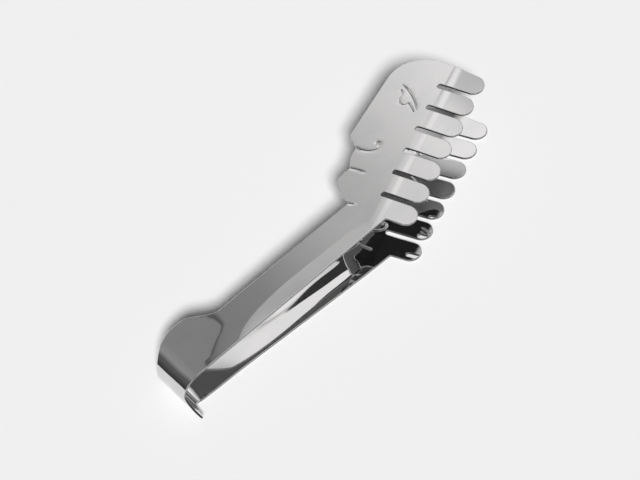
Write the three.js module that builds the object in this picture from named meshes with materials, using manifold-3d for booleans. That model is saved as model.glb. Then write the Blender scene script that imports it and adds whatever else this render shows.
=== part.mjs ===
// Spaghetti tongs: one strip of polished stainless sheet, bent round a bow at the closed end.
// Both ends are heads cut as a face in profile, with a row of tines where the hair would be.
// Millimetres. +X runs from the bow to the heads, +Y to the side the faces look to, +Z up.
// The lower arm lies flat on Z = 0 and the origin is on its underside.

import * as THREE from 'three';
import { mergeVertices } from 'three/addons/utils/BufferGeometryUtils.js';
import createManifold from 'manifold-3d';

// Sheet and bow
const SHEET = 1.2;
const ARM_WIDTH = 18.6;
const BOW_RADIUS = 10.7;
const SPREAD_DEG = 2.4;
const FLEX_GAP = 0.3;

// Arm: lengths along X from the line where the bow meets the arm, to the origin and to the lowest slot
const BOW_TO_ORIGIN = 92;
const ARM_LENGTH = 119.3;
const HEAD_ASIDE = 2.2;

// Thumb rest on the face side, as lengths along the strip from the crown of the bow
const REST_HEIGHT = 8.4;
const REST_RISE = 22;
const REST_FALL = 27;
const REST_END = 43;

// Pointed hook on the tine side of the bow, a little nearer to the lower arm than the crown is
const HOOK_HEIGHT = 10.9;
const HOOK_HALF_WIDTH = 5.8;
const HOOK_OFFSET = 3.6;
const HOOK_ROUNDING = 0.6;

// Head and tines
const HEAD_TILT_DEG = 23;
const TINE_COUNT = 7;
const TINE_PITCH = 13;
const SLOT_WIDTH = 2.4;
const TINE_LENGTH = 20.6;
const TINE_BEND_DEG = 4;
const TINE_BEND_START = 1;
const TINE_BEND_RADIUS = 100;

// Face in profile, measured out from the line of the slot ends
const BROW_OUT = 24.3;
const NOSE_OUT = 26.9;
const NOSTRIL_OUT = 21.3;
const UPPER_LIP_OUT = 21.5;
const MOUTH_OUT = 19.4;
const CHIN_OUT = 21.6;

// Heights of the same features along the head, from the lowest slot
const CROWN_AT = 78.6;
const BROW_AT = 60;
const NOSE_AT = 26;
const NOSTRIL_AT = 19.6;
const UPPER_LIP_AT = 15;
const MOUTH_AT = 8;
const CHIN_AT = 0.6;

// Lines pressed into the outer side of the face
const LINE_WIDTH = 0.8;
const LINE_DEPTH = 0.3;

const wasm = await createManifold();
wasm.setup();

const radians = THREE.MathUtils.degToRad;
const spread = radians(SPREAD_DEG);
const tilt = radians(HEAD_TILT_DEG);
const tineBend = radians(TINE_BEND_DEG);
const halfWidth = ARM_WIDTH / 2;
const tineHalf = (TINE_PITCH - SLOT_WIDTH) / 2;
const midRadius = BOW_RADIUS - SHEET / 2;
const bowTurn = Math.PI - 2 * spread;
const halfBow = midRadius * bowTurn / 2;

// Directions of the head: up along the row of slots, and out along the tines
const headUp = new THREE.Vector2(Math.cos(tilt), Math.sin(tilt));
const headOut = new THREE.Vector2(Math.sin(tilt), -Math.cos(tilt));
const slotLine = new THREE.Vector2(ARM_LENGTH, HEAD_ASIDE);

// Closed geometry to a solid and back, for joins and cuts
function toSolid(geometry) {
  const bare = new THREE.BufferGeometry();
  bare.setAttribute('position', geometry.getAttribute('position').clone());
  if (geometry.index) {
    bare.setIndex(geometry.index.clone());
  }
  const merged = mergeVertices(bare, 1e-4);
  return new wasm.Manifold(new wasm.Mesh({
    numProp: 3,
    vertProperties: Float32Array.from(merged.getAttribute('position').array),
    triVerts: Uint32Array.from(merged.index.array),
  }));
}

function toGeometry(solid) {
  const mesh = solid.getMesh();
  const geometry = new THREE.BufferGeometry();
  geometry.setAttribute('position', new THREE.BufferAttribute(mesh.vertProperties, 3));
  geometry.setIndex(new THREE.BufferAttribute(mesh.triVerts, 1));
  geometry.computeVertexNormals();
  return geometry;
}

function smooth(value) {
  const t = THREE.MathUtils.clamp(value, 0, 1);
  return t * t * (3 - 2 * t);
}

// Edges of the strip, as a function of the length along it from the crown of the bow to the lower arm
function faceEdge(length) {
  const fall = (length - REST_FALL) / (REST_END - REST_FALL);
  return halfWidth + REST_HEIGHT * smooth(length / REST_RISE) * (1 - smooth(fall));
}

// The hook has straight flanks, a rounded tip and rounded feet
function tineEdge(length) {
  const aside = Math.hypot(length - HOOK_OFFSET, HOOK_ROUNDING / 2);
  const flank = (HOOK_HALF_WIDTH - aside) / HOOK_ROUNDING;
  const rise = HOOK_ROUNDING * Math.log1p(Math.exp(flank)) / HOOK_HALF_WIDTH;
  return -halfWidth - HOOK_HEIGHT * rise;
}

// Point of the arm's plan from head coordinates
function onHead(up, out) {
  return slotLine.clone().addScaledVector(headUp, up).addScaledVector(headOut, out);
}

// Head coordinate out, on the line up = const, at which the plan's Y has the given value
function outAtY(up, y) {
  return (HEAD_ASIDE + up * Math.sin(tilt) - y) / Math.cos(tilt);
}

// Plan of one arm: tine edge, tines, crown, face, then back along the thumb rest
function armPlan() {
  const plan = new THREE.Shape();
  const line = (up, out) => {
    const p = onHead(up, out);
    plan.lineTo(p.x, p.y);
  };
  const quad = (cu, co, up, out) => {
    const c = onHead(cu, co);
    const p = onHead(up, out);
    plan.quadraticCurveTo(c.x, c.y, p.x, p.y);
  };
  const cubic = (au, ao, bu, bo, up, out) => {
    const a = onHead(au, ao);
    const b = onHead(bu, bo);
    const p = onHead(up, out);
    plan.bezierCurveTo(a.x, a.y, b.x, b.y, p.x, p.y);
  };
  const arc = (up, out, radius, from, turn) => {
    const c = onHead(up, out);
    const start = tilt + from;
    plan.absarc(c.x, c.y, radius, start, start + turn, turn < 0);
  };

  plan.moveTo(FLEX_GAP, -halfWidth);

  const lowest = -TINE_PITCH / 2 - tineHalf;
  line(lowest, outAtY(lowest, -halfWidth));

  // A turn of +90 degrees from headUp points away from the tines
  const quarter = Math.PI / 2;
  for (let i = 0; i < TINE_COUNT; i += 1) {
    const up = (i - 0.5) * TINE_PITCH;
    line(up - tineHalf, TINE_LENGTH - tineHalf);
    arc(up, TINE_LENGTH - tineHalf, tineHalf, -2 * quarter, 2 * quarter);
    if (i < TINE_COUNT - 1) {
      const slot = up + TINE_PITCH / 2;
      line(slot - SLOT_WIDTH / 2, SLOT_WIDTH / 2);
      arc(slot, SLOT_WIDTH / 2, SLOT_WIDTH / 2, 2 * quarter, -2 * quarter);
    }
  }

  // Crown of the head and straight brow down to the nose
  const highest = (TINE_COUNT - 1.5) * TINE_PITCH + tineHalf;
  const forehead = CROWN_AT - BROW_AT;
  const noseTip = NOSE_AT - NOSTRIL_AT;
  const tineTop = highest + forehead * 0.02;
  const overTine = CROWN_AT - forehead * 0.016;
  cubic(tineTop, TINE_LENGTH * 0.5, overTine, TINE_LENGTH * 0.29, CROWN_AT, 0);
  const overCrown = CROWN_AT + forehead * 0.03;
  const overBrow = BROW_AT + forehead * 0.75;
  cubic(overCrown, -BROW_OUT * 0.5, overBrow, -BROW_OUT * 0.984, BROW_AT, -BROW_OUT);
  line(NOSE_AT + noseTip * 0.23, -NOSE_OUT);
  quad(NOSE_AT - noseTip * 0.47, -NOSE_OUT, NOSTRIL_AT + noseTip * 0.34, -(NOSE_OUT + NOSTRIL_OUT) / 2);
  line(NOSTRIL_AT, -NOSTRIL_OUT);

  // Upper lip, mouth, chin and jaw
  const lip = UPPER_LIP_AT - MOUTH_AT;
  const chin = MOUTH_AT - CHIN_AT;
  const jaw = -TINE_PITCH * 0.78;
  const cheek = CHIN_AT - jaw;
  quad(UPPER_LIP_AT + lip * 0.14, -UPPER_LIP_OUT * 1.02, UPPER_LIP_AT - lip * 0.36, -UPPER_LIP_OUT * 0.98);
  line(MOUTH_AT, -MOUTH_OUT);
  cubic(MOUTH_AT - chin * 0.27, -MOUTH_OUT * 1.05, CHIN_AT + chin * 0.35, -CHIN_OUT, CHIN_AT, -CHIN_OUT);
  cubic(CHIN_AT - cheek * 0.37, -CHIN_OUT, jaw + cheek * 0.15, -CHIN_OUT * 0.75, jaw, outAtY(jaw, halfWidth));

  // Straight neck, then the thumb rest by its formula
  const restEnd = REST_END - halfBow;
  plan.lineTo(restEnd, halfWidth);
  const steps = 24;
  for (let i = 1; i <= steps; i += 1) {
    const x = restEnd + (FLEX_GAP - restEnd) * i / steps;
    plan.lineTo(x, faceEdge(halfBow + x));
  }
  plan.closePath();
  return plan;
}

// Sheet bent upward along the row of tines, long and wide enough for the whole arm
function bentSheet() {
  const reach = ARM_LENGTH + TINE_COUNT * TINE_PITCH;
  const centre = SHEET + TINE_BEND_RADIUS;
  const down = -Math.PI / 2;
  const section = new THREE.Shape();
  section.moveTo(-reach, 0);
  section.lineTo(TINE_BEND_START, 0);
  section.absarc(TINE_BEND_START, centre, centre, down, down + tineBend, false);
  const along = new THREE.Vector2(Math.cos(tineBend), Math.sin(tineBend)).multiplyScalar(reach);
  const outer = new THREE.Vector2(Math.sin(tineBend), -Math.cos(tineBend)).multiplyScalar(centre);
  const inner = outer.clone().multiplyScalar(TINE_BEND_RADIUS / centre);
  section.lineTo(TINE_BEND_START + outer.x + along.x, centre + outer.y + along.y);
  section.lineTo(TINE_BEND_START + inner.x + along.x, centre + inner.y + along.y);
  section.absarc(TINE_BEND_START, centre, TINE_BEND_RADIUS, down + tineBend, down, true);
  section.lineTo(-reach, SHEET);
  section.closePath();
  const sheet = new THREE.ExtrudeGeometry(section, {
    depth: 2 * reach,
    bevelEnabled: false,
    curveSegments: 6,
  });
  const place = new THREE.Matrix4().makeBasis(
    new THREE.Vector3(headOut.x, headOut.y, 0),
    new THREE.Vector3(0, 0, 1),
    new THREE.Vector3(-headUp.x, -headUp.y, 0),
  );
  const start = onHead(reach, 0);
  place.setPosition(start.x, start.y, 0);
  sheet.applyMatrix4(place);
  return sheet;
}

// Solid through a row of sections of four corners each
function loft(sections) {
  const positions = sections.flat(2);
  const index = [];
  const steps = sections.length - 1;
  for (let i = 0; i < steps; i += 1) {
    for (let k = 0; k < 4; k += 1) {
      const a = 4 * i + k;
      const b = 4 * i + (k + 1) % 4;
      index.push(a, a + 4, b);
      index.push(b, a + 4, b + 4);
    }
  }
  const last = 4 * steps;
  index.push(0, 1, 2, 0, 2, 3);
  index.push(last, last + 2, last + 1, last, last + 3, last + 2);
  const geometry = new THREE.BufferGeometry();
  geometry.setAttribute('position', new THREE.Float32BufferAttribute(positions, 3));
  geometry.setIndex(index);
  geometry.computeVertexNormals();
  return geometry;
}

// Lines of the face as shares of the crown's height and of the nose's reach
const faceLines = {
  noseAndNostril: [
    [0.252, 0.84], [0.243, 0.7], [0.252, 0.56], [0.275, 0.46], [0.3, 0.424], [0.322, 0.44], [0.326, 0.48],
  ],
  mouth: [[0.1, 0.78], [0.105, 0.57], [0.103, 0.42]],
  jaw: [[-0.132, 0.46], [-0.124, 0.37], [-0.107, 0.28]],
  upperLid: [[0.768, 0.61], [0.739, 0.44], [0.693, 0.28], [0.644, 0.164], [0.61, 0.126]],
  eye: [
    [0.735, 0.58], [0.71, 0.513], [0.669, 0.506], [0.635, 0.454], [0.63, 0.387], [0.649, 0.33], [0.632, 0.25],
    [0.597, 0.145],
  ],
};

// Groove of diamond section along one face line, sunk into the outer side of the sheet
function grooveGeometry(shares) {
  const points = shares.map(([up, out]) => {
    const p = onHead(up * CROWN_AT, -out * NOSE_OUT);
    return new THREE.Vector3(p.x, p.y, 0);
  });
  const curve = new THREE.CatmullRomCurve3(points);
  const steps = 8 * (points.length - 1);
  const sections = [];
  for (let i = 0; i <= steps; i += 1) {
    const p = curve.getPoint(i / steps);
    const ahead = curve.getTangent(i / steps);
    const taper = smooth((steps - i + 1) / 6);
    const x = -ahead.y * LINE_WIDTH * taper / 2;
    const y = ahead.x * LINE_WIDTH * taper / 2;
    const depth = LINE_DEPTH * taper;
    sections.push([
      [p.x - x, p.y - y, 0],
      [p.x, p.y, depth],
      [p.x + x, p.y + y, 0],
      [p.x, p.y, -depth],
    ]);
  }
  return loft(sections);
}

function armGeometry() {
  const height = SHEET + TINE_LENGTH;
  const prism = new THREE.ExtrudeGeometry(armPlan(), {
    depth: 2 * height,
    bevelEnabled: false,
    curveSegments: 14,
  });
  prism.translate(0, 0, -height);
  let solid = toSolid(bentSheet()).intersect(toSolid(prism));
  for (const shares of Object.values(faceLines)) {
    solid = solid.subtract(toSolid(grooveGeometry(shares)));
  }
  return toGeometry(solid);
}

// Bow: rectangular sections lofted round the bend, each as wide as the strip is there
function bowGeometry() {
  const steps = 96;
  const outer = BOW_RADIUS;
  const inner = BOW_RADIUS - SHEET;
  const sections = [];
  for (let i = 0; i <= steps; i += 1) {
    const angle = bowTurn * i / steps;
    const length = (bowTurn / 2 - angle) * midRadius;
    const corner = (radius, y) => [-radius * Math.sin(angle), y, BOW_RADIUS - radius * Math.cos(angle)];
    const tine = tineEdge(length);
    const face = faceEdge(Math.abs(length));
    sections.push([corner(outer, tine), corner(outer, face), corner(inner, face), corner(inner, tine)]);
  }
  return loft(sections);
}

function polishedSteel(color, roughness) {
  return new THREE.MeshStandardMaterial({ color, roughness, metalness: 1 });
}

const tongs = new THREE.Group();
tongs.name = 'spaghetti_tongs';
tongs.position.set(-BOW_TO_ORIGIN, 0, 0);

const bow = new THREE.Mesh(bowGeometry(), polishedSteel(0xb9bbbe, 0.16));
bow.name = 'spring_bow';
tongs.add(bow);

const arm = armGeometry();
const lowerArm = new THREE.Mesh(arm, polishedSteel(0xc4c6c8, 0.14));
lowerArm.name = 'lower_arm';
tongs.add(lowerArm);

// The upper arm is the lower one mirrored in the plane through the middle of the bow
const mirror = new THREE.Group();
mirror.position.set(0, 0, BOW_RADIUS);
mirror.rotation.set(0, -spread, 0);
const flip = new THREE.Group();
flip.scale.set(1, 1, -1);
const lowered = new THREE.Group();
lowered.rotation.set(0, spread, 0);
const upperArm = new THREE.Mesh(arm.clone(), polishedSteel(0xcccdcf, 0.14));
upperArm.name = 'upper_arm';
upperArm.position.set(0, 0, -BOW_RADIUS);
lowered.add(upperArm);
flip.add(lowered);
mirror.add(flip);
tongs.add(mirror);

export default tongs;
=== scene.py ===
"""Looks of the spaghetti tongs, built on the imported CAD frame.

The tongs are one strip of polished steel. The visual is that strip in two halves that meet at the
crown of the bow: each half is laid out flat, given rounded edges and pressed face lines, and then
bent round the bow and along the tines. Each half bends with its own end of the bow.
Lengths are in millimetres until a mesh is made.
"""

import math

import bpy
import numpy as np
from mathutils import Matrix, Vector
from mathutils.geometry import delaunay_2d_cdt


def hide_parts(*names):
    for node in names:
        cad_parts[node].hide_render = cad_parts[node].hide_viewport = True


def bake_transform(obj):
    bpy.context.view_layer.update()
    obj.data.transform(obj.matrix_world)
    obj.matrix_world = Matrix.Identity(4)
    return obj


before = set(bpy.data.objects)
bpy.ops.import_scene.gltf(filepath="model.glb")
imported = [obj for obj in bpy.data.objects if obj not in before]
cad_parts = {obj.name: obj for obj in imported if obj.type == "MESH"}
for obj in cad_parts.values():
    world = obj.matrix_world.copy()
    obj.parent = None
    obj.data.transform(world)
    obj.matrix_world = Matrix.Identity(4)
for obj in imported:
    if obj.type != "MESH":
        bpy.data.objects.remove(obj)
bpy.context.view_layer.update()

MM = 0.001

# Sheet, bow and arm: the CAD's own sizes
SHEET = 1.2
ARM_WIDTH = 18.6
BOW_RADIUS = 10.7
SPREAD = math.radians(2.4)
BOW_TO_ORIGIN = 92.0
ARM_LENGTH = 119.3
HEAD_ASIDE = 2.2
REST_HEIGHT, REST_RISE, REST_FALL, REST_END = 8.4, 22.0, 27.0, 43.0
HOOK_HEIGHT, HOOK_HALF_WIDTH, HOOK_OFFSET, HOOK_ROUNDING = 10.9, 5.8, 3.6, 0.6
HOOK_FOOT = 3.0
NECK_FILLET = 0.9

# Head and tines
TILT = math.radians(23)
TINE_COUNT, TINE_PITCH, SLOT_WIDTH, TINE_LENGTH = 7, 13.0, 2.4, 20.6
TINE_BEND, TINE_BEND_START, TINE_BEND_RADIUS = math.radians(4), 1.0, 100.0
BROW_OUT, NOSE_OUT, NOSTRIL_OUT = 24.3, 26.9, 21.3
UPPER_LIP_OUT, MOUTH_OUT, CHIN_OUT = 21.5, 19.4, 21.6
CROWN_AT, BROW_AT, NOSE_AT, NOSTRIL_AT = 78.6, 60.0, 26.0, 19.6
UPPER_LIP_AT, MOUTH_AT, CHIN_AT = 15.0, 8.0, 0.6
JAW_AT = -TINE_PITCH * 0.78

# Rounding of the deburred and polished edge
EDGE_RADIUS = 0.38
EDGE_STEPS = 5
SHARPEST_MITER = 0.6

# Spacing of the points of the outline: straight edges, small rounds, hook, thumb rest
EDGE_STEP, ROUND_STEP, HOOK_STEP, REST_POINTS = 1.2, 0.25, 0.16, 64

# Lengths from the bow at which regions of the strip begin
NECK_FROM, TINES_FROM, FACE_FROM, HEAD_FROM = 47.0, 60.0, 88.0, 96.0

HALF_WIDTH = ARM_WIDTH / 2
TINE_HALF = (TINE_PITCH - SLOT_WIDTH) / 2
MID_RADIUS = BOW_RADIUS - SHEET / 2
BOW_TURN = math.pi - 2 * SPREAD
HALF_BOW = MID_RADIUS * BOW_TURN / 2

HEAD_UP = np.array([math.cos(TILT), math.sin(TILT)])
HEAD_OUT = np.array([math.sin(TILT), -math.cos(TILT)])
SLOT_LINE = np.array([ARM_LENGTH, HEAD_ASIDE])


def smooth(value):
    t = np.clip(value, 0.0, 1.0)
    return t * t * (3 - 2 * t)


def face_edge(length):
    fall = (length - REST_FALL) / (REST_END - REST_FALL)
    return HALF_WIDTH + REST_HEIGHT * smooth(length / REST_RISE) * (1 - smooth(fall))


def tine_edge(length):
    """Edge with the hook, at a length from the crown of the bow towards the lower arm."""
    aside = np.hypot(length - HOOK_OFFSET, HOOK_ROUNDING / 2)
    rise = np.logaddexp(0.0, (HOOK_HALF_WIDTH - aside) / HOOK_ROUNDING) * HOOK_ROUNDING / HOOK_HALF_WIDTH
    return -HALF_WIDTH - HOOK_HEIGHT * rise


def on_head(up, out):
    """Flat-pattern point of a head coordinate. The pattern's first axis starts at the crown of the bow."""
    return SLOT_LINE + up * HEAD_UP + out * HEAD_OUT + np.array([HALF_BOW, 0.0])


def out_at_y(up, y):
    return (HEAD_ASIDE + up * math.sin(TILT) - y) / math.cos(TILT)


class Outline:
    """An open outline of closely spaced points."""

    def __init__(self, start):
        self.points = [np.array(start, float)]

    def line(self, end, step=1.0):
        a, b = self.points[-1], np.array(end, float)
        n = max(1, int(round(np.linalg.norm(b - a) / step)))
        self.points += [a + (b - a) * i / n for i in range(1, n + 1)]

    def arc(self, centre, radius, start, turn, step=0.45):
        n = max(4, int(round(abs(turn) * radius / step)))
        for i in range(1, n + 1):
            a = start + turn * i / n
            self.points.append(np.array(centre) + radius * np.array([math.cos(a), math.sin(a)]))

    def cubic(self, b, c, d, step=0.7):
        a = self.points[-1]
        b, c, d = (np.array(p, float) for p in (b, c, d))
        chord = np.linalg.norm(b - a) + np.linalg.norm(c - b) + np.linalg.norm(d - c)
        n = max(6, int(round(chord / step)))
        for i in range(1, n + 1):
            t = i / n
            self.points.append((1 - t) ** 3 * a + 3 * t * (1 - t) ** 2 * b
                               + 3 * t * t * (1 - t) * c + t ** 3 * d)

    def quad(self, b, d, step=0.6):
        a, b, d = self.points[-1], np.array(b, float), np.array(d, float)
        self.cubic(a + (b - a) * 2 / 3, d + (b - d) * 2 / 3, d, step)


def half_outline(toward):
    """Outline of half the strip, from the crown of the bow round the head and back to the crown.
    toward is 1 for the half with the lower arm and -1 for the other."""
    o = Outline((0.0, tine_edge(0.0)))
    foot = HOOK_HALF_WIDTH + HOOK_FOOT + toward * HOOK_OFFSET
    for s in np.linspace(0, foot, int(foot / HOOK_STEP))[1:]:
        o.points.append(np.array([s, float(tine_edge(toward * s))]))
    lowest = -TINE_PITCH / 2 - TINE_HALF
    corner = on_head(lowest, out_at_y(lowest, -HALF_WIDTH))
    # small fillet between neck and first tine
    turn = math.pi / 2 - TILT
    start = corner - np.array([NECK_FILLET * math.tan(turn / 2), 0.0])
    o.line(start, EDGE_STEP)
    o.arc(start + np.array([0.0, -NECK_FILLET]), NECK_FILLET, math.pi / 2, -turn, ROUND_STEP)
    for i in range(TINE_COUNT):
        up = (i - 0.5) * TINE_PITCH
        o.line(on_head(up - TINE_HALF, TINE_LENGTH - TINE_HALF))
        o.arc(on_head(up, TINE_LENGTH - TINE_HALF), TINE_HALF, TILT - math.pi, math.pi)
        if i < TINE_COUNT - 1:
            slot = up + TINE_PITCH / 2
            o.line(on_head(slot - SLOT_WIDTH / 2, SLOT_WIDTH / 2))
            o.arc(on_head(slot, SLOT_WIDTH / 2), SLOT_WIDTH / 2, TILT + math.pi, -math.pi, ROUND_STEP)
    highest = (TINE_COUNT - 1.5) * TINE_PITCH + TINE_HALF
    # crown, brow, nose, nostril, lips, mouth, chin and jaw
    o.cubic(on_head(highest + 0.4, TINE_LENGTH / 2), on_head(CROWN_AT - 0.3, 6), on_head(CROWN_AT, 0))
    o.cubic(on_head(CROWN_AT + 0.6, -12), on_head(BROW_AT + 14, 0.4 - BROW_OUT),
            on_head(BROW_AT, -BROW_OUT))
    o.line(on_head(NOSE_AT + 1.5, -NOSE_OUT))
    o.quad(on_head(NOSE_AT - 3, -NOSE_OUT), on_head(NOSTRIL_AT + 2.2, -(NOSE_OUT + NOSTRIL_OUT) / 2), 0.4)
    o.line(on_head(NOSTRIL_AT, -NOSTRIL_OUT), 0.4)
    o.quad(on_head(UPPER_LIP_AT + 1, -UPPER_LIP_OUT - 0.4),
           on_head(UPPER_LIP_AT - 2.5, 0.4 - UPPER_LIP_OUT), 0.5)
    o.line(on_head(MOUTH_AT, -MOUTH_OUT), 0.5)
    o.cubic(on_head(MOUTH_AT - 2, -MOUTH_OUT - 1), on_head(CHIN_AT + 2.6, -CHIN_OUT),
            on_head(CHIN_AT, -CHIN_OUT), 0.5)
    o.cubic(on_head(CHIN_AT - 4, -CHIN_OUT), on_head(JAW_AT + 1.6, -CHIN_OUT * 0.75),
            on_head(JAW_AT, out_at_y(JAW_AT, HALF_WIDTH)), 0.5)
    o.line((REST_END, HALF_WIDTH), EDGE_STEP)
    for s in np.linspace(REST_END, 0, REST_POINTS)[1:]:
        o.points.append(np.array([s, float(face_edge(s))]))
    return np.array(o.points)


def right_of(directions):
    return np.stack([directions[:, 1], -directions[:, 0]], 1)


def miters(points):
    """Outward normal of each outline point, plain and stretched so that an offset keeps its distance."""
    ahead = np.diff(points, axis=0)
    ahead /= np.linalg.norm(ahead, axis=1)[:, None]
    before = np.vstack([ahead[:1], ahead])
    after = np.vstack([ahead, ahead[-1:]])
    total = right_of(before) + right_of(after)
    unit = total / np.linalg.norm(total, axis=1)[:, None]
    cosine = np.clip((unit * right_of(after)).sum(1), SHARPEST_MITER, 1.0)
    miter = unit / cosine[:, None]
    # at the crown of the bow the halves meet on a line across the strip, so offsets stay on it
    for k in (0, -1):
        miter[k] = (0.0, 1 / unit[k, 1])
    return unit, miter


def inside(points, polygon):
    x, y = points[:, 0][:, None], points[:, 1][:, None]
    ax, ay = polygon[:, 0][None], polygon[:, 1][None]
    bx, by = np.roll(polygon[:, 0], -1)[None], np.roll(polygon[:, 1], -1)[None]
    crosses = ((ay > y) != (by > y)) & (x < (bx - ax) * (y - ay) / (by - ay + 1e-30) + ax)
    return crosses.sum(1) % 2 == 1


def clear_of(points, others, distance, chunk=2000):
    """The points that lie further than distance from every other point."""
    keep = np.ones(len(points), bool)
    for k in range(0, len(points), chunk):
        part = points[k:k + chunk]
        d = ((part[:, None] - others[None]) ** 2).sum(2).min(1)
        keep[k:k + chunk] = d > distance * distance
    return points[keep]


def head_coordinates(flat):
    d = flat - np.array([HALF_BOW, 0.0]) - SLOT_LINE
    return d @ HEAD_UP, d @ HEAD_OUT


# Face lines pressed into the head: head coordinates (up, out), depth, half width, taper at start and end
FACE_LINES = [
    # under the nose, with the curl of the nostril
    ([(19.6, -21.4), (19.2, -18.6), (19.9, -15.0), (21.6, -12.4), (23.6, -11.4), (25.3, -11.7),
      (25.9, -12.8), (25.1, -13.6), (23.5, -13.4)], 0.36, 0.42, 0.0, 0.12),
    # mouth
    ([(8.0, -19.6), (8.3, -15.4), (8.1, -11.2)], 0.34, 0.44, 0.0, 0.25),
    # jaw
    ([(-10.2, -12.2), (-9.8, -9.9), (-8.4, -7.6)], 0.28, 0.42, 0.0, 0.5),
    # upper lid
    ([(60.4, -16.4), (58.1, -11.8), (54.5, -7.6), (50.6, -4.4), (47.9, -3.4)], 0.28, 0.28, 0.2, 0.25),
    # front of the eye and lower lid
    ([(57.8, -15.6), (55.8, -13.8), (52.6, -13.6), (49.9, -12.2), (49.5, -10.4), (51.0, -8.9), (49.7, -6.7),
      (46.9, -3.9)], 0.19, 0.23, 0.12, 0.15),
]


def through(points, step=0.12):
    """A smooth curve through the points."""
    p = np.array(points, float)
    p = np.vstack([2 * p[0] - p[1], p, 2 * p[-1] - p[-2]])
    out = []
    for a, b, c, d in zip(p, p[1:], p[2:], p[3:]):
        n = max(2, int(np.linalg.norm(c - b) / step))
        for i in range(n):
            t = i / n
            out.append(0.5 * (2 * b + (c - a) * t + (2 * a - 5 * b + 4 * c - d) * t * t
                              + (3 * b - a - 3 * c + d) * t ** 3))
    out.append(p[-2])
    return np.array(out)


FACE_CURVES = [(through(points), depth, wide, start, end) for points, depth, wide, start, end in FACE_LINES]

# Where the sheet starts to ease down to the bow, oblique across the strip: length from the bow at each y
EASE_LINE = through([(24.0, -40), (6.4, -9.3), (8.9, -5.7), (15.6, -1.6), (20.4, 0.7), (23.2, 3.2),
                     (23.4, 7.4), (22.4, 10.8), (20.0, 18.0), (19.0, 40)])
EASE_SLOPE, EASE_SOFT = 0.022, 0.9


def soft_ramp(value, width):
    """Zero below zero and the value above it, rounded over the width."""
    return width * np.logaddexp(0.0, value / width)


def eased(flat):
    """Slow fall of the sheet between the oblique line and the bow, where the thumb rest is formed."""
    order = np.argsort(EASE_LINE[:, 1])
    start = HALF_BOW + np.interp(flat[:, 1], EASE_LINE[order, 1], EASE_LINE[order, 0])
    return EASE_SLOPE * soft_ramp(start - flat[:, 0], EASE_SOFT) * smooth(flat[:, 0] / HALF_BOW)


def flowing(rows, step=0.5, spread=8.0, reach=24):
    """Rows of (length from the bow, y, slope) drawn out as one smooth run. spread and reach count steps."""
    rows = np.array(rows)
    length = np.arange(-6.0, 126.0, step)
    weight = np.exp(-0.5 * (np.arange(-reach, reach + 1) / spread) ** 2)
    weight /= weight.sum()
    columns = [np.interp(length, rows[:, 0], rows[:, k]) for k in (1, 2)]
    smoothed = [np.convolve(np.pad(c, reach, "edge"), weight, "valid") for c in columns]
    return np.column_stack([length] + smoothed)


# A faint fold along each handle: length from the bow, y of the fold, and slope of the sheet beyond it
UPPER_FOLD = flowing([(20, -9.5, 0.0), (28, -6.0, 0.02), (36, -4.0, 0.04), (46, -3.0, 0.05),
                      (56, -2.4, 0.045), (66, -2.3, 0.03), (76, -2.2, 0.016), (92, -2.4, 0.014),
                      (100, -2.6, 0.006), (106, -2.8, 0.0)])
LOWER_FOLD = flowing([(8, 5.2, 0.0), (17, 4.0, 0.05), (23, 3.0, 0.06), (30, 1.6, 0.062), (40, 0.2, 0.054),
                      (50, -0.2, 0.044), (60, -0.3, 0.03), (70, -0.5, 0.018), (78, -0.85, 0.016),
                      (86, -0.85, 0.015), (92, -0.85, 0.015), (94, -0.85, 0.0)])
# The near edge of the lower handle turns out again: length from the bow, y, change of slope
EDGE_RELIEF = flowing([(12, -6.3, 0.0), (17, -6.7, 0.02), (22, -7.2, 0.038), (28, -7.6, 0.04),
                       (36, -7.9, 0.035), (44, -7.8, 0.03), (52, -7.0, 0.025), (60, -6.0, 0.022),
                       (66, -5.5, 0.02), (76, -5.1, 0.026), (84, -5.4, 0.036), (90, -5.4, 0.044),
                       (97, -5.2, 0.03), (104, -5.2, 0.0)])
# Its far edge leans in a little more: length from the bow, y, change of slope
FAR_FOLD = flowing([(20, 7.0, 0.0), (40, 3.4, 0.0), (48, 2.4, 0.012), (57, 2.0, 0.02), (63, 2.75, 0.022),
                    (67, 3.3, 0.022), (72, 3.8, 0.022), (78, 4.0, 0.022), (84, 3.85, 0.022),
                    (90, 3.75, 0.022), (94, 3.75, 0.0)])
# Its far side leans in as a whole, between these lengths from the bow
FAR_SLOPE, FAR_START, FAR_RUN_IN, FAR_END, FAR_RUN_OUT = 0.016, 2.0, 6.0, 104.0, 10.0
# It also leans in slowly from the neck towards the bow
LENGTHWISE_SLOPE, LENGTHWISE_START, LENGTHWISE_SOFT = 0.006, 96.0, 2.0
# Width over which each fold is rounded
FOLD_SOFT, FAR_SOFT, RELIEF_SOFT, FAR_FOLD_SOFT = 0.45, 0.3, 0.35, 0.2


def fold_at(s, fold):
    x = s - HALF_BOW
    return np.interp(x, fold[:, 0], fold[:, 1]), np.interp(x, fold[:, 0], fold[:, 2])


def folded(flat, fold):
    """How far the folds press the sheet inward. The near side of each handle leans in beyond its fold."""
    s, across = flat[:, 0], flat[:, 1]
    y, slope = fold_at(s, fold)
    bend = slope * soft_ramp(y - across, FOLD_SOFT)
    if fold is LOWER_FOLD:
        x = s - HALF_BOW
        far = FAR_SLOPE * smooth((x - FAR_START) / FAR_RUN_IN) * smooth((FAR_END - x) / FAR_RUN_OUT)
        bend = bend + far * soft_ramp(across - y, FAR_SOFT)
        lengthwise = LENGTHWISE_SLOPE * soft_ramp(LENGTHWISE_START - x, LENGTHWISE_SOFT)
        bend = bend + lengthwise * smooth(s / HALF_BOW)
        edge, relief = fold_at(s, EDGE_RELIEF)
        bend = bend - relief * soft_ramp(edge - across, RELIEF_SOFT)
        edge, lean = fold_at(s, FAR_FOLD)
        bend = bend + lean * soft_ramp(across - edge, FAR_FOLD_SOFT)
    return bend


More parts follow.
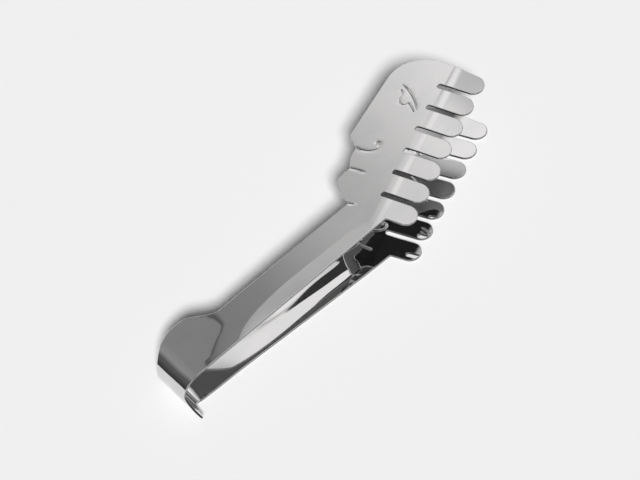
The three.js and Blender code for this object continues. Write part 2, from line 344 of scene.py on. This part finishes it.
def pressed(flat, fold):
    """How far the sheet is pressed inward at flat-pattern points."""
    depth_at = folded(flat, fold)
    if fold is UPPER_FOLD:
        depth_at = depth_at + eased(flat)
    up, out = head_coordinates(flat)
    near = np.nonzero((flat[:, 0] > HALF_BOW + FACE_FROM) & (out < 0))[0]
    spot = np.stack([up[near], out[near]], 1)
    for curve, depth, wide, start, end in FACE_CURVES:
        low, high = curve.min(0) - 3 * wide, curve.max(0) + 3 * wide
        some = ((spot > low) & (spot < high)).all(1)
        if not some.any():
            continue
        d2 = ((spot[some][:, None] - curve[None]) ** 2).sum(2)
        t = d2.argmin(1) / (len(curve) - 1)
        fade = smooth(t / start) if start else 1.0
        fade = fade * (smooth((1 - t) / end) if end else 1.0)
        groove = fade * depth * np.exp(-d2.min(1) / wide ** 2)
        depth_at[near[some]] = np.maximum(depth_at[near[some]], groove)
    return depth_at


def slope_of_press(flat, fold, step=0.03):
    ds, dy = np.array([step, 0.0]), np.array([0.0, step])
    return ((pressed(flat + ds, fold) - pressed(flat - ds, fold)) / (2 * step),
            (pressed(flat + dy, fold) - pressed(flat - dy, fold)) / (2 * step))


def points_along_lines():
    """Rows of points beside each face line, so that its groove is round."""
    rows = []
    for curve, _, wide, _, _ in FACE_CURVES:
        ahead = np.gradient(curve, axis=0)
        ahead /= np.linalg.norm(ahead, axis=1)[:, None]
        side = np.stack([-ahead[:, 1], ahead[:, 0]], 1)
        for k in (0.0, 0.5, 1.0, 1.6, 2.4):
            for sign in ((1,) if k == 0 else (1, -1)):
                rows.append(curve + side * sign * k * wide)
    spots = np.vstack(rows)
    return np.array([on_head(u, v) for u, v in spots])


def grid(first, second):
    return np.array([(a, b) for a in first for b in second])


def spread_out(points, distance, recent=900):
    """The points without those that lie close to one of the points kept just before."""
    kept = []
    for spot in points:
        if all(abs(spot[0] - q[0]) + abs(spot[1] - q[1]) > distance for q in kept[-recent:]):
            kept.append(spot)
    return np.array(kept)


def filling_points(polygon, fold):
    """Points inside the outline: rows round the bow, rows across the tine bend and along the folds and
    the face lines, coarser elsewhere."""
    low, high = polygon.min(0), polygon.max(0)
    near_bow = grid(np.arange(0.5, HALF_BOW + 45, 0.7), np.arange(-19, 18.5, 0.9))
    neck = grid(np.arange(HALF_BOW + NECK_FROM, HALF_BOW + HEAD_FROM, 2.6), np.arange(-8, 8.1, 2.6))
    outs = np.concatenate([np.arange(-28, 1, 2.6), np.arange(0.4, 9.0, 0.6), np.arange(10, 20, 2.2)])
    head = np.array([on_head(up, out) for up, out in grid(np.arange(-16, 82, 2.0), outs)])
    head = head[head[:, 0] > HALF_BOW + HEAD_FROM]
    points = np.vstack([near_bow, neck, head])
    lengths = np.arange(HALF_BOW + 6, HALF_BOW + 105, 0.7)
    for run in ([UPPER_FOLD] if fold is UPPER_FOLD else [LOWER_FOLD, EDGE_RELIEF, FAR_FOLD]):
        crease = np.array([(s, fold_at(s, run)[0] + k) for s in lengths for k in (-0.9, -0.3, 0.3, 0.9)])
        points = np.vstack([clear_of(points, crease, 0.5), crease])
    points = points[(points > low).all(1) & (points < high).all(1)]
    lines = spread_out(points_along_lines(), 0.08)
    lines = clear_of(lines[inside(lines, polygon)], polygon, 0.12)
    points = points[inside(points, polygon)]
    points = clear_of(clear_of(points, polygon, 0.45), lines, 0.5)
    return np.vstack([points, lines])


def place(flat, height):
    """Bent position, and directions along, across and into the sheet, of flat-pattern points.
    height runs from the outer face (0) to the inner face (SHEET), for the lower half of the strip."""
    s, y = flat[:, 0], flat[:, 1]
    angle = np.maximum(HALF_BOW - s, 0) / MID_RADIUS
    radius = BOW_RADIUS - height
    x = np.where(s < HALF_BOW, -radius * np.sin(angle), s - HALF_BOW)
    z = np.where(s < HALF_BOW, BOW_RADIUS - radius * np.cos(angle), height)
    position = np.stack([x, y, z], 1)
    along = np.stack([np.cos(angle), 0 * s, -np.sin(angle)], 1)
    across = np.stack([0 * s, 1 + 0 * s, 0 * s], 1)
    inward = np.stack([np.sin(angle), 0 * s, np.cos(angle)], 1)
    # tines
    _, out = head_coordinates(flat)
    d = np.maximum(out - TINE_BEND_START, 0)
    outer = TINE_BEND_RADIUS + SHEET
    reach = outer * math.sin(TINE_BEND)
    local = np.arcsin(np.clip(d, 0, reach) / outer)
    rise = outer * (1 - np.cos(local)) + np.maximum(d - reach, 0) * math.tan(TINE_BEND)
    tines = (d > 0) & (s > HALF_BOW + TINES_FROM)
    rise, local = np.where(tines, rise, 0), np.where(tines, local, 0)
    out3 = np.array([HEAD_OUT[0], HEAD_OUT[1], 0.0])
    up3 = np.array([HEAD_UP[0], HEAD_UP[1], 0.0])
    top3 = np.array([0.0, 0.0, 1.0])
    bent_inward = -np.sin(local)[:, None] * out3 + np.cos(local)[:, None] * top3
    bent_out = np.cos(local)[:, None] * out3 + np.sin(local)[:, None] * top3
    bent = np.stack([x, y, rise], 1) + bent_inward * height[:, None]
    position = np.where(tines[:, None], bent, position)

    def turned(v):
        return (v @ up3)[:, None] * up3 + (v @ out3)[:, None] * bent_out

    along = np.where(tines[:, None], turned(along), along)
    across = np.where(tines[:, None], turned(across), across)
    inward = np.where(tines[:, None], bent_inward, inward)
    return position, along, across, inward


def mirrored(vectors):
    """Vectors reflected in the plane through the middle of the bow."""
    d = np.array([math.cos(SPREAD), 0.0, math.sin(SPREAD)])
    normal = np.array([-d[2], 0.0, d[0]])
    return vectors - 2 * (vectors @ normal)[:, None] * normal


def strip_half(name, upper):
    """One half of the strip as a closed mesh, with the direction of its faces set point by point."""
    fold = UPPER_FOLD if upper else LOWER_FOLD
    outline = half_outline(-1 if upper else 1)
    unit, miter = miters(outline)
    rim = outline - miter * EDGE_RADIUS
    # the seam at the crown of the bow closes the polygon
    seam = np.array([(0.0, y) for y in np.arange(rim[-1, 1] - 1.0, rim[0, 1] + 0.5, -1.0)])
    polygon = np.vstack([rim, seam])
    fill = filling_points(polygon, fold)
    flat_in = [Vector(p) for p in np.vstack([polygon, fill])]
    n = len(polygon)
    got = delaunay_2d_cdt(flat_in, [], [list(range(n))], 1, 1e-5)
    face_flat = np.array([tuple(v) for v in got[0]])
    faces_2d = [tuple(f) for f in got[2]]
    index_of = {}
    for new, origs in enumerate(got[3]):
        for k in origs:
            index_of[k] = new
    count = len(face_flat)
    # outer and inner faces
    flats = [face_flat, face_flat]
    heights = [np.zeros(count), np.full(count, SHEET)]
    normals = [np.tile((0, 0, -1.0), (count, 1)), np.tile((0, 0, 1.0), (count, 1))]
    faces = []
    for a, b, c in faces_2d:
        p, q, r = face_flat[a], face_flat[b], face_flat[c]
        if (q[0] - p[0]) * (r[1] - p[1]) - (q[1] - p[1]) * (r[0] - p[0]) < 0:
            b, c = c, b
        faces.append((a, c, b))
        faces.append((a + count, b + count, c + count))
    # rounded edge, ring by ring from the outer face to the inner one
    m = len(outline)
    rings = [[index_of[k] for k in range(m)]]
    base = 2 * count
    quarter = [math.pi / 2 * k / EDGE_STEPS for k in range(1, EDGE_STEPS + 1)]
    profile = [(EDGE_RADIUS * (1 - math.sin(a)), EDGE_RADIUS * (1 - math.cos(a)), math.sin(a), -math.cos(a))
               for a in quarter]
    profile += [(i, SHEET - h, o, -u) for i, h, o, u in reversed(profile)]
    for inset, h, out, up in profile:
        flats.append(outline - miter * inset)
        heights.append(np.full(m, h))
        normals.append(np.column_stack([unit * out, np.full(m, up)]))
        rings.append(list(range(base, base + m)))
        base += m
    rings.append([index_of[k] + count for k in range(m)])
    for a, b in zip(rings, rings[1:]):
        for k in range(m - 1):
            faces.append((a[k], a[k + 1], b[k + 1], b[k]))
    # flat cap where the halves meet
    seam_ids = [index_of[k] for k in range(m, n)]
    cap = ([r[0] for r in rings] + [k + count for k in reversed(seam_ids)]
           + [r[-1] for r in reversed(rings)] + seam_ids)
    faces.append(tuple(cap))

    flat = np.vstack(flats)
    height = np.concatenate(heights)
    normal = np.vstack(normals)
    # the press moves both faces inward and tilts them
    slope_s, slope_y = slope_of_press(flat, fold)
    level = height
    height = height + pressed(flat, fold)
    flip = normal[:, 2] * normal[:, 2] ** 2
    normal[:, 0] -= slope_s * flip
    normal[:, 1] -= slope_y * flip
    normal /= np.linalg.norm(normal, axis=1)[:, None]
    position, along, across, inward = place(flat, height)
    facing = normal[:, :1] * along + normal[:, 1:2] * across + normal[:, 2:] * inward
    if upper:
        centre = np.array([0.0, 0.0, BOW_RADIUS])
        position = mirrored(position - centre) + centre
        facing = mirrored(facing)
        faces = [tuple(reversed(f)) for f in faces]
    position = (position - np.array([BOW_TO_ORIGIN, 0, 0])) * MM
    mesh = bpy.data.meshes.new(name)
    mesh.from_pydata(position.tolist(), [], faces)
    mesh.update()
    pattern = mesh.attributes.new("flat_pattern", "FLOAT_VECTOR", "POINT")
    pattern.data.foreach_set("vector", np.column_stack([flat, level]).astype(np.float32).ravel())
    mesh.polygons.foreach_set("use_smooth", [True] * len(mesh.polygons))
    loop_vertex = np.zeros(len(mesh.loops), np.int32)
    mesh.loops.foreach_get("vertex_index", loop_vertex)
    loop_normal = facing[loop_vertex]
    last = mesh.polygons[len(mesh.polygons) - 1]
    loop_normal[last.loop_start:last.loop_start + last.loop_total] = np.array(last.normal)
    mesh.normals_split_custom_set(loop_normal.tolist())
    obj = bpy.data.objects.new(name, mesh)
    bpy.context.scene.collection.objects.link(obj)
    return obj


# The two halves of the strip, each bending with its end of the bow
lower = strip_half("lower_half", False)
upper = strip_half("upper_half", True)
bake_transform(lower)
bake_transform(upper)
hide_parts("lower_arm", "spring_bow")
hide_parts("upper_arm", "spring_bow")


class Nodes:
    """Short hand for building a node tree."""

    def __init__(self, tree):
        self.tree = tree

    def new(self, kind, **values):
        node = self.tree.nodes.new(kind)
        for key, value in values.items():
            setattr(node, key, value)
        return node

    def feed(self, socket, value):
        if isinstance(value, bpy.types.NodeSocket):
            self.tree.links.new(value, socket)
        else:
            socket.default_value = value

    def math(self, operation, a, b=0.0, c=0.0):
        node = self.new("ShaderNodeMath", operation=operation)
        for socket, value in zip(node.inputs, (a, b, c)):
            self.feed(socket, value)
        return node.outputs[0]

    def ramp(self, value, low, high, start=0.0, end=1.0):
        """A smooth step from start to end as value runs from low to high."""
        node = self.new("ShaderNodeMapRange", interpolation_type="SMOOTHSTEP")
        settings = {"Value": value, "From Min": low, "From Max": high, "To Min": start, "To Max": end}
        for key, setting in settings.items():
            self.feed(node.inputs[key], setting)
        return node.outputs[0]

    def times(self, first, *others):
        for other in others:
            first = self.math("MULTIPLY", first, other)
        return first

    def between(self, value, low, low_full, high_full, high):
        """One inside a range of the value and zero outside it, with smooth ends."""
        return self.times(self.ramp(value, low, low_full), self.ramp(value, high, high_full))


# Steel: lighter and duller polish, and the sheared edge, which is duller and also carries painted shade:
# its dark tone darkens the outline along every edge
BRIGHT, DULL, SHEARED_EDGE_AND_SHADE = (0.755, 0.75, 0.75, 1), (0.69, 0.69, 0.695, 1), (0.16, 0.16, 0.165, 1)
ROUGHNESS, SMUDGE_ROUGH, LINE_ROUGH, HAIR_ROUGH, CUT_ROUGH = 0.012, 0.02, 0.015, 0.02, 0.16
LINE_RELIEF, RELIEF_DEPTH = 0.02, 0.000005


def polished_steel(name):
    """Polished sheet: faint lines along the strip, a slow waviness, wiped smudges, duller cut edges that
    are also painted dark as shade along the outline.
    """
    material = bpy.data.materials.new(name)
    material.use_nodes = True
    n = Nodes(material.node_tree)
    bsdf = material.node_tree.nodes["Principled BSDF"]
    pattern = n.new("ShaderNodeAttribute", attribute_name="flat_pattern").outputs["Vector"]

    def noise(scale, detail=2.0, roughness=0.5):
        stretch = n.new("ShaderNodeVectorMath", operation="MULTIPLY")
        n.feed(stretch.inputs[0], pattern)
        n.feed(stretch.inputs[1], scale)
        node = n.new("ShaderNodeTexNoise")
        n.feed(node.inputs["Vector"], stretch.outputs[0])
        n.feed(node.inputs["Scale"], 1.0)
        n.feed(node.inputs["Detail"], detail)
        n.feed(node.inputs["Roughness"], roughness)
        return node.outputs["Fac"]

    lines = noise((0.035, 4.5, 0.5))
    hairs = n.ramp(noise((0.012, 7.0, 0.5), 1.0), 0.62, 0.72)
    smudge = n.ramp(noise((0.045, 0.075, 0.2), 3.0, 0.55), 0.42, 0.68)
    wave = noise((0.05, 0.085, 0.05), 1.0)
    level = n.new("ShaderNodeSeparateXYZ")
    n.feed(level.inputs[0], pattern)
    # band round the cut edge: it makes the edge rougher, and it carries the painted shade that darkens the
    # edge's colour
    cut_and_edge_shade = n.between(level.outputs[2], 0.12, 0.3, 0.9, 1.08)

    tone = n.new("ShaderNodeMix", data_type="RGBA")
    n.feed(tone.inputs["Factor"], n.math("MULTIPLY_ADD", lines, 0.5, n.math("MULTIPLY", smudge, 0.5)))
    n.feed(tone.inputs["A"], BRIGHT)
    n.feed(tone.inputs["B"], DULL)
    # painted shade: the cut edge is mixed towards a dark tone so that the outline reads dark
    edge_tone_with_shade = n.new("ShaderNodeMix", data_type="RGBA")
    n.feed(edge_tone_with_shade.inputs["Factor"], n.math("MULTIPLY", cut_and_edge_shade, 0.9))
    n.feed(edge_tone_with_shade.inputs["A"], tone.outputs["Result"])
    n.feed(edge_tone_with_shade.inputs["B"], SHEARED_EDGE_AND_SHADE)
    n.feed(bsdf.inputs["Base Color"], edge_tone_with_shade.outputs["Result"])
    rough = n.math("MULTIPLY_ADD", smudge, SMUDGE_ROUGH, ROUGHNESS)
    rough = n.math("MULTIPLY_ADD", lines, LINE_ROUGH, rough)
    rough = n.math("MULTIPLY_ADD", hairs, HAIR_ROUGH, rough)
    rough = n.math("MULTIPLY_ADD", cut_and_edge_shade, CUT_ROUGH, rough)
    n.feed(bsdf.inputs["Roughness"], rough)
    bsdf.inputs["Metallic"].default_value = 1.0

    relief = n.math("MULTIPLY_ADD", lines, LINE_RELIEF, wave)
    bump = n.new("ShaderNodeBump")
    n.feed(bump.inputs["Strength"], 1.0)
    n.feed(bump.inputs["Distance"], RELIEF_DEPTH)
    n.feed(bump.inputs["Height"], relief)
    n.feed(bsdf.inputs["Normal"], bump.outputs["Normal"])
    return material


steel = polished_steel("polished_steel")
lower.data.materials.append(steel)
upper.data.materials.append(steel)

# Stage: pale floor
bpy.ops.mesh.primitive_plane_add(size=6, location=(0, 0, -0.0004))
floor = bpy.context.object
floor.name = "floor"
pale = bpy.data.materials.new("pale_floor")
pale.use_nodes = True
matt = pale.node_tree.nodes["Principled BSDF"].inputs
matt["Base Color"].default_value = (0.88, 0.88, 0.88, 1)
matt["Roughness"].default_value = 0.95
matt["Specular IOR Level"].default_value = 0.0
floor.data.materials.append(pale)


# Studio: what the steel mirrors is a room whose ceiling grows lighter towards the head end. The floor is
# lit by an even fill and one soft key light.
FILL, KEY = 0.13, 3.67
OPENING_LEVEL, DARK_SIDE_LEVEL, SEAM_DEPTH = 0.04, 0.08, 0.15
WARM_WHITE = (1.0, 0.99, 0.985, 1)
WALL_PANELS, PANEL_CONTRAST = 9.0, 0.3
world = bpy.data.worlds.new("studio")
bpy.context.scene.world = world
world.use_nodes = True
sky = Nodes(world.node_tree)
direction = sky.new("ShaderNodeSeparateXYZ")
sky.feed(direction.inputs[0], sky.new("ShaderNodeTexCoord").outputs["Generated"])
dx, dy, dz = direction.outputs


def graded(stops):
    """A level graded along the length of the room."""
    node = sky.new("ShaderNodeValToRGB")
    elements = node.color_ramp.elements
    while len(elements) < len(stops):
        elements.new(0.5)
    for element, (x, value) in zip(elements, stops):
        element.position = (x + 1) / 2
        element.color = (value, value, value, 1)
    sky.feed(node.inputs[0], sky.math("MULTIPLY_ADD", dx, 0.5, 0.5))
    return node.outputs[0]


def mixed(factor, a, b):
    node = sky.new("ShaderNodeMix")
    for key, value in (("Factor", factor), ("A", a), ("B", b)):
        sky.feed(node.inputs[key], value)
    return node.outputs["Result"]


# the ceiling, and a panel below it with a slight gleam along its middle
ceiling = graded([(-1.0, 0.1), (-0.65, 0.12), (-0.42, 0.33), (0.0, 0.3), (0.165, 0.265), (0.18, 0.29),
                  (0.225, 0.53), (0.248, 0.56), (0.3, 0.9), (0.33, 1.0), (0.405, 1.05), (0.435, 0.03)])
panel = graded([(0.12, 0.3), (0.155, 0.37), (0.19, 0.56), (0.245, 0.61), (0.29, 0.85), (0.306, 0.8),
                (0.33, 0.93), (0.343, 0.92), (0.347, 0.7), (0.41, 0.5), (0.44, 0.02)])
gleam = sky.times(sky.between(dy, 0.388, 0.4, 0.425, 0.44), sky.ramp(dx, 0.2, 0.3, 0.0, 0.14))
lit = mixed(sky.ramp(dy, 0.466, 0.4715), sky.math("ADD", panel, gleam), ceiling)
# a dark opening in the ceiling towards the head end, with a grey border
border = sky.between(sky.math("MULTIPLY_ADD", dx, 0.13, dy), 0.4895, 0.4905, 0.501, 0.502)
border = sky.times(border, sky.between(dx, 0.311, 0.319, 0.4, 0.41))
lit = mixed(border, lit, mixed(sky.ramp(dx, 0.318, 0.345), 0.6, 0.8))
brink = sky.math("MULTIPLY_ADD", dx, 0.7, dy)
opening = sky.times(sky.between(dx, 0.33, 0.334, 0.4, 0.41), sky.ramp(dy, 0.482, 0.476),
                    sky.ramp(brink, 0.688, 0.6895))
lit = mixed(opening, lit, OPENING_LEVEL)
# a dark seam in the ceiling, which shows where the handle starts to ease down to the bow
slant = sky.math("MULTIPLY_ADD", dy, -1.06, dx)
seam = sky.times(sky.ramp(slant, -0.404, -0.392), sky.ramp(slant, -0.385, -0.37, SEAM_DEPTH, 0.0))
lit = sky.math("SUBTRACT", lit, seam)
# the rest of the studio: pale panels round the walls and a soft overhead light
bearing = sky.math("ARCTAN2", dy, dx)
panels = sky.math("SINE", sky.math("MULTIPLY_ADD", bearing, WALL_PANELS, 0.6))
walls = sky.math("MULTIPLY_ADD", panels, PANEL_CONTRAST, sky.ramp(dz, 0.0, 0.4, 0.36, 0.54))
# the top of the wall beyond the tongs is pale, and the side where the photographer stands is dark
beyond = sky.math("MULTIPLY_ADD", dx, 0.587, sky.math("MULTIPLY", dy, 0.809))
pale_top = sky.times(sky.ramp(beyond, 0.7, 0.78, 0.0, 0.6), sky.ramp(dz, 0.42, 0.5))
walls = sky.math("ADD", walls, pale_top)
overhead = sky.math("MULTIPLY_ADD", dx, 1.2, 0.85)
room = mixed(sky.ramp(dz, 0.8, 0.92), walls, overhead)
dark_side = sky.times(sky.between(beyond, -0.75, -0.6, -0.14, -0.06), sky.ramp(dz, 0.5, 0.65))
room = mixed(dark_side, room, DARK_SIDE_LEVEL)
band = sky.times(sky.between(dy, 0.26, 0.33, 0.58, 0.61), sky.ramp(dx, 0.62, 0.55))
shown = mixed(band, room, sky.times(lit, sky.ramp(dz, 0.1, 0.5, 0.5, 1.0)))
# the room is what the steel and the camera see, and the even fill is what lights the floor
path = sky.new("ShaderNodeLightPath")
seen = sky.math("MAXIMUM", path.outputs["Is Camera Ray"], path.outputs["Is Glossy Ray"])
background = world.node_tree.nodes["Background"]
sky.feed(background.inputs["Strength"], mixed(seen, FILL, shown))
background.inputs["Color"].default_value = WARM_WHITE

# Soft key light from beside the camera
KEY_ANGLE, KEY_HEADING = math.radians(12), Vector((0.4, 0.62, -0.8))
key_data = bpy.data.lights.new("key", "SUN")
key_data.angle = KEY_ANGLE
key_data.energy = KEY
key = bpy.data.objects.new("key", key_data)
key.rotation_euler = KEY_HEADING.to_track_quat("-Z", "Y").to_euler()
key.visible_glossy = False
bpy.context.scene.collection.objects.link(key)

# Camera at the photograph's viewing angle
AZIMUTH, ELEVATION, ROLL = (math.radians(a) for a in (-35.935, 52.921, -7.003))
CAMERA_AT, LENS, SENSOR = Vector((-0.33697, -0.44753, 0.76578)), 115.935, 36
level = Vector((math.cos(AZIMUTH), math.sin(AZIMUTH), 0))
back = Vector((math.sin(AZIMUTH) * math.cos(ELEVATION),
               -math.cos(AZIMUTH) * math.cos(ELEVATION), math.sin(ELEVATION)))
rise = back.cross(level)
right = level * math.cos(ROLL) + rise * math.sin(ROLL)
above = rise * math.cos(ROLL) - level * math.sin(ROLL)
camera_data = bpy.data.cameras.new("camera")
camera_data.sensor_width = SENSOR
camera_data.lens = LENS
camera = bpy.data.objects.new("camera", camera_data)
placing = Matrix((right, above, back)).transposed().to_4x4()
placing.translation = CAMERA_AT
camera.matrix_world = placing
bpy.context.scene.collection.objects.link(camera)
bpy.context.scene.camera = camera
bpy.context.scene.view_settings.view_transform = "Standard"
